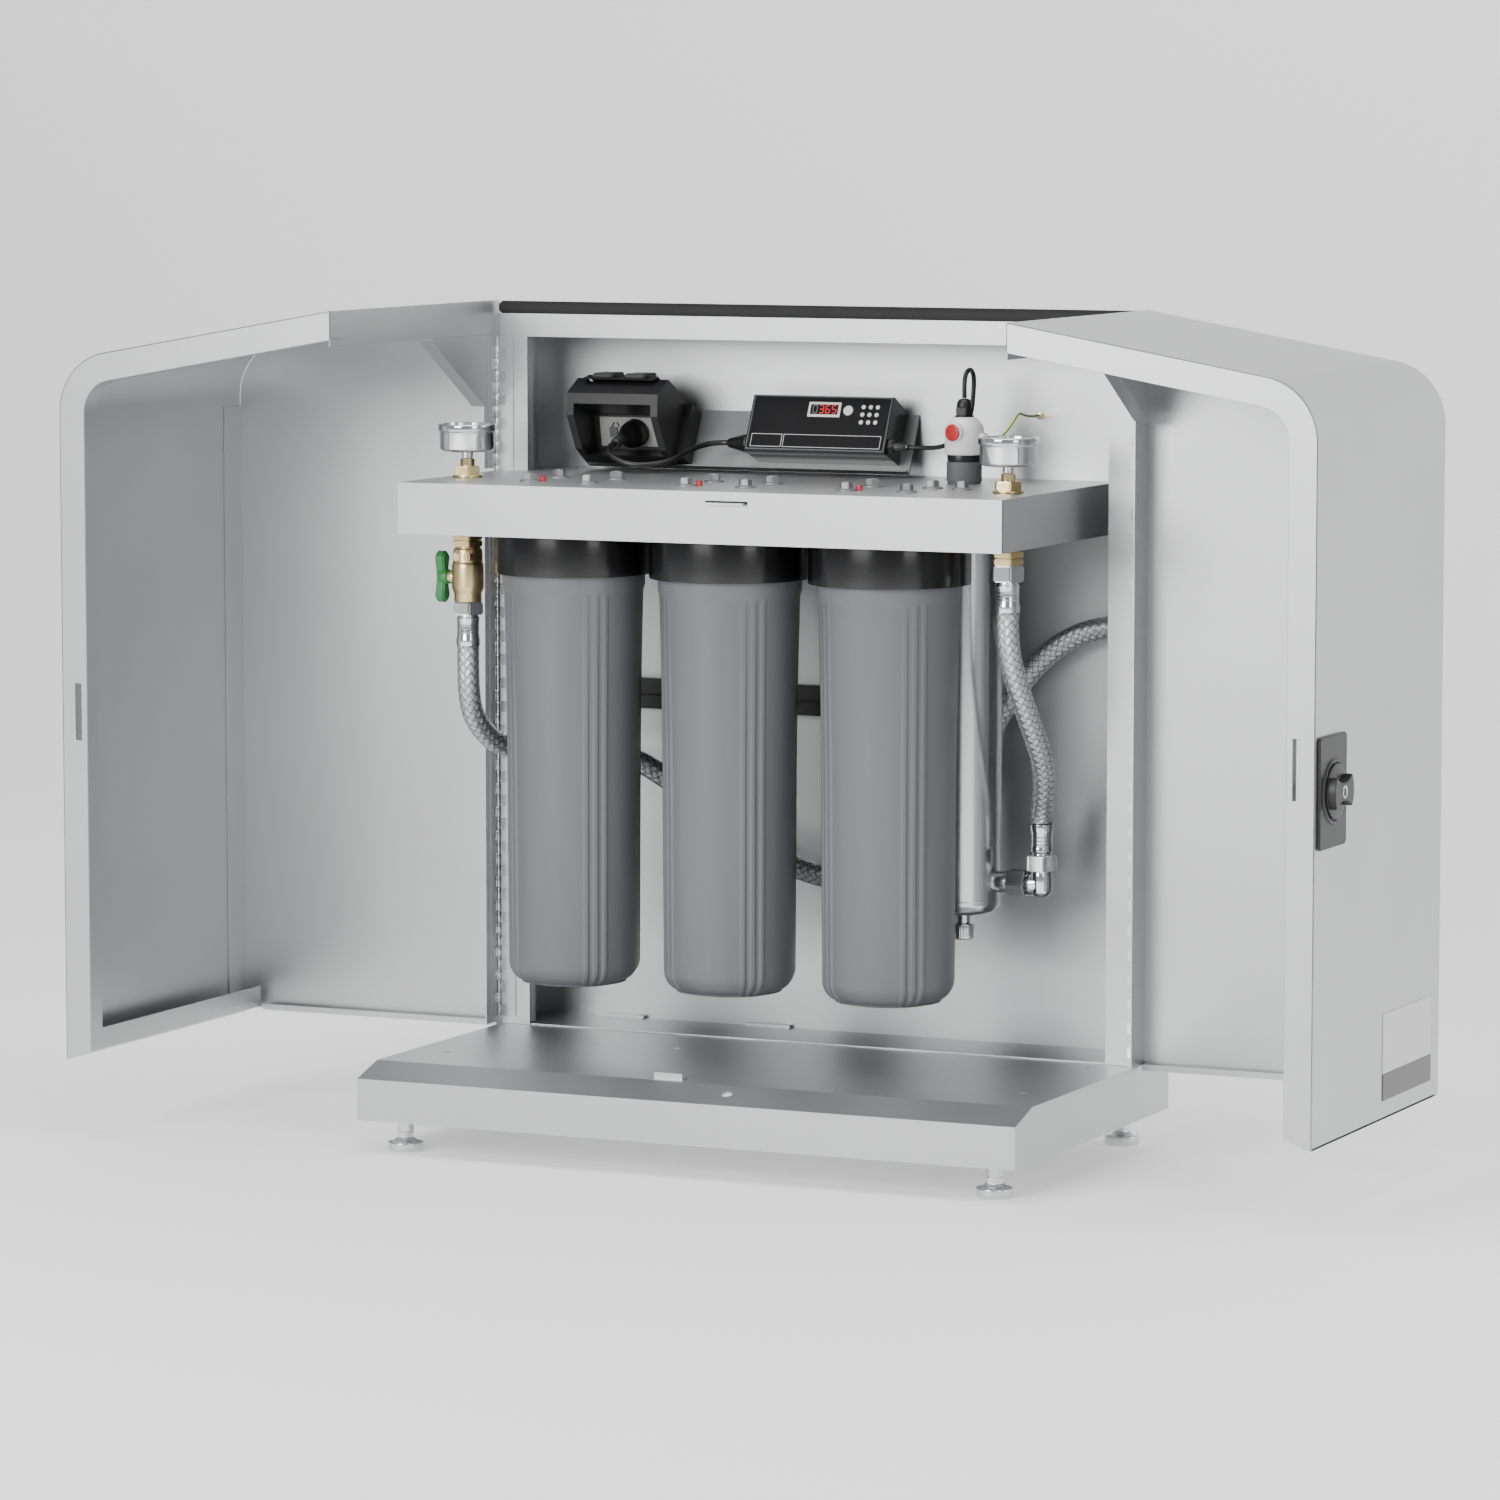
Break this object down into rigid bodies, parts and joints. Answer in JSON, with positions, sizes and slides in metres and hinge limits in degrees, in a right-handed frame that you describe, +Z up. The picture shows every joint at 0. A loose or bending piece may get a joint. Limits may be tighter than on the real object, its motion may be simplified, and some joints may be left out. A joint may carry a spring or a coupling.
{
  "type": "water filter and ultraviolet steriliser cabinet",
  "caption": "Floor-standing steel cabinet with hinged clamshell doors, tall cartridge filter housings under a shelf, an ultraviolet steriliser, gauges, hoses and a tilted control panel.",
  "frame": {"origin": "middle of the footprint of the whole object with both doors open, at floor level under the feet", "axes": "+Z up, -Y the open front of the cabinet, +X to the right seen from the front"},
  "size_m": [1.5435, 0.511, 0.9625],
  "materials": {
    "stainless_steel": "fine-grained satin stainless sheet",
    "dark_steel": "satin steel",
    "chrome_plate": "bright plated",
    "brass": "machined brass",
    "braided_steel": "woven stainless wire braid",
    "black_gloss_plastic": "moulded, glossy",
    "grey_plastic": "moulded, semi-gloss",
    "dark_plastic": "moulded, fine texture",
    "white_plastic": "moulded, semi-gloss",
    "red_plastic": "moulded, glossy",
    "green_plastic": "dipped coating",
    "quartz_glass": "clear",
    "filter_cloth": "pleated, matt",
    "cable_sheath": "smooth sheath"
  },
  "bodies": {
    "cabinet": {"base_tray": "stainless_steel", "back_box": "stainless_steel", "door_frame": "stainless_steel", "manifold_bracket": "stainless_steel", "left_hinge_pin": "stainless_steel", "right_hinge_pin": "stainless_steel", "uv_chamber": "stainless_steel", "console_plate": "dark_steel", "uv_gland_nut": "dark_plastic", "socket_box": "dark_plastic", "inlet_gauge_case": "chrome_plate", "outlet_gauge_case": "chrome_plate", "inlet_hose_end": "chrome_plate", "outlet_hose_end": "chrome_plate", "link_hose_low_end": "chrome_plate", "housing_head_1": "black_gloss_plastic", "housing_head_2": "black_gloss_plastic", "housing_head_3": "black_gloss_plastic", "ballast_case": "black_gloss_plastic", "mains_plug": "black_gloss_plastic", "filter_cartridge_1": "filter_cloth", "filter_cartridge_2": "filter_cloth", "filter_cartridge_3": "filter_cloth", "inlet_tee": "brass", "outlet_tee": "brass", "valve_body": "brass", "supply_fitting": "brass", "uv_elbow": "brass", "supply_hose": "braided_steel", "link_hose": "braided_steel", "quartz_sleeve": "quartz_glass", "uv_lamp": "quartz_glass", "lamp_cap": "white_plastic", "mains_cable": "cable_sheath", "lamp_cable": "cable_sheath"},
    "left_door": {"left_door_skin": "stainless_steel", "left_door_side": "stainless_steel"},
    "right_door": {"right_door_skin": "stainless_steel", "right_door_side": "stainless_steel", "latch_plate": "dark_plastic"},
    "latch_knob": {"latch_knob": "dark_plastic"},
    "key_cylinder": {"key_cylinder": "chrome_plate"},
    "latch_rod": {"latch_rod": "stainless_steel"},
    "valve_handle": {"valve_handle": "green_plastic"},
    "inlet_gauge_needle": {"inlet_gauge_needle": "black_gloss_plastic"},
    "outlet_gauge_needle": {"outlet_gauge_needle": "black_gloss_plastic"},
    "relief_button_1": {"relief_button_1": "red_plastic"},
    "relief_button_2": {"relief_button_2": "red_plastic"},
    "relief_button_3": {"relief_button_3": "red_plastic"},
    "sump_1": {"housing_sump_1": "grey_plastic"},
    "sump_2": {"housing_sump_2": "grey_plastic"},
    "sump_3": {"housing_sump_3": "grey_plastic"},
    "drain_cap": {"drain_cap": "chrome_plate"},
    "ballast_button": {"ballast_button": "white_plastic"},
    "socket_flap": {"socket_flap": "dark_plastic"},
    "socket_switch": {"socket_switch": "grey_plastic"},
    "foot_front_left": {"foot_front_left": "dark_steel"},
    "foot_front_right": {"foot_front_right": "dark_steel"},
    "foot_rear_left": {"foot_rear_left": "dark_steel"},
    "foot_rear_right": {"foot_rear_right": "dark_steel"}
  },
  "joints": [
    {"name": "left_door_hinge", "type": "hinge", "parent": "cabinet", "child": "left_door", "pos_m": [-0.407, 0.1505, 0.5], "axis": [0, 0, 1], "range_deg": [-15, 90]},
    {"name": "right_door_hinge", "type": "hinge", "parent": "cabinet", "child": "right_door", "pos_m": [0.407, 0.1505, 0.5], "axis": [0, 0, 1], "range_deg": [-90, 15]},
    {"name": "latch_turn", "type": "hinge", "parent": "right_door", "child": "latch_knob", "pos_m": [0.768, -0.2075, 0.471], "axis": [1, 0, 0], "range_deg": [0, 90]},
    {"name": "key_turn", "type": "hinge", "parent": "latch_knob", "child": "key_cylinder", "pos_m": [0.768, -0.2075, 0.471], "axis": [1, 0, 0], "range_deg": [0, 90]},
    {"name": "latch_rod_lift", "type": "slide", "parent": "right_door", "child": "latch_rod", "axis": [0, 0, 1], "range_m": [0, 0.02]},
    {"name": "inlet_valve_turn", "type": "hinge", "parent": "cabinet", "child": "valve_handle", "pos_m": [-0.405, 0.0095, 0.6457], "axis": [1, 0, 0], "range_deg": [0, 90]},
    {"name": "inlet_gauge_reading", "type": "hinge", "parent": "cabinet", "child": "inlet_gauge_needle", "pos_m": [-0.374, 0.0095, 0.82], "axis": [0, 0, -1], "range_deg": [0, 270]},
    {"name": "outlet_gauge_reading", "type": "hinge", "parent": "cabinet", "child": "outlet_gauge_needle", "pos_m": [0.304, 0.0095, 0.82], "axis": [0, 0, -1], "range_deg": [0, 270]},
    {"name": "relief_press_1", "type": "slide", "parent": "cabinet", "child": "relief_button_1", "axis": [0, 0, -1], "range_m": [0, 0.003], "stiffness_N_per_m": 200},
    {"name": "sump_1_unscrew", "type": "hinge", "parent": "cabinet", "child": "sump_1", "pos_m": [-0.237, 0.0095, 0.43], "axis": [0, 0, 1], "range_deg": [0, 720]},
    {"name": "relief_press_2", "type": "slide", "parent": "cabinet", "child": "relief_button_2", "axis": [0, 0, -1], "range_m": [0, 0.003], "stiffness_N_per_m": 200},
    {"name": "sump_2_unscrew", "type": "hinge", "parent": "cabinet", "child": "sump_2", "pos_m": [-0.0386, 0.0095, 0.43], "axis": [0, 0, 1], "range_deg": [0, 720]},
    {"name": "relief_press_3", "type": "slide", "parent": "cabinet", "child": "relief_button_3", "axis": [0, 0, -1], "range_m": [0, 0.003], "stiffness_N_per_m": 200},
    {"name": "sump_3_unscrew", "type": "hinge", "parent": "cabinet", "child": "sump_3", "pos_m": [0.1598, 0.0095, 0.43], "axis": [0, 0, 1], "range_deg": [0, 720]},
    {"name": "drain_cap_unscrew", "type": "hinge", "parent": "cabinet", "child": "drain_cap", "pos_m": [0.194, 0.1445, 0.247], "axis": [0, 0, 1], "range_deg": [0, 720]},
    {"name": "ballast_button_press", "type": "slide", "parent": "cabinet", "child": "ballast_button", "axis": [0, 0.9063, -0.4226], "range_m": [0, 0.0015], "stiffness_N_per_m": 200},
    {"name": "socket_lid_lift", "type": "hinge", "parent": "cabinet", "child": "socket_flap", "pos_m": [-0.252, 0.1971, 0.862], "axis": [-1, 0, 0], "range_deg": [0, 95]},
    {"name": "socket_switch_rock", "type": "hinge", "parent": "cabinet", "child": "socket_switch", "pos_m": [-0.276, 0.1978, 0.8076], "axis": [1, 0, 0], "range_deg": [-8, 8]},
    {"name": "foot_front_left_turn", "type": "hinge", "parent": "cabinet", "child": "foot_front_left", "pos_m": [-0.365, -0.1695, 0.02], "axis": [0, 0, 1], "continuous": true},
    {"name": "foot_rear_left_turn", "type": "hinge", "parent": "cabinet", "child": "foot_rear_left", "pos_m": [-0.365, 0.2145, 0.02], "axis": [0, 0, 1], "continuous": true},
    {"name": "foot_front_right_turn", "type": "hinge", "parent": "cabinet", "child": "foot_front_right", "pos_m": [0.365, -0.1695, 0.02], "axis": [0, 0, 1], "continuous": true},
    {"name": "foot_rear_right_turn", "type": "hinge", "parent": "cabinet", "child": "foot_rear_right", "pos_m": [0.365, 0.2145, 0.02], "axis": [0, 0, 1], "continuous": true}
  ],
  "couplings": [
    {"joint": "latch_rod_lift", "follows": "latch_turn", "m_per_rad": 0.01273}
  ]
}
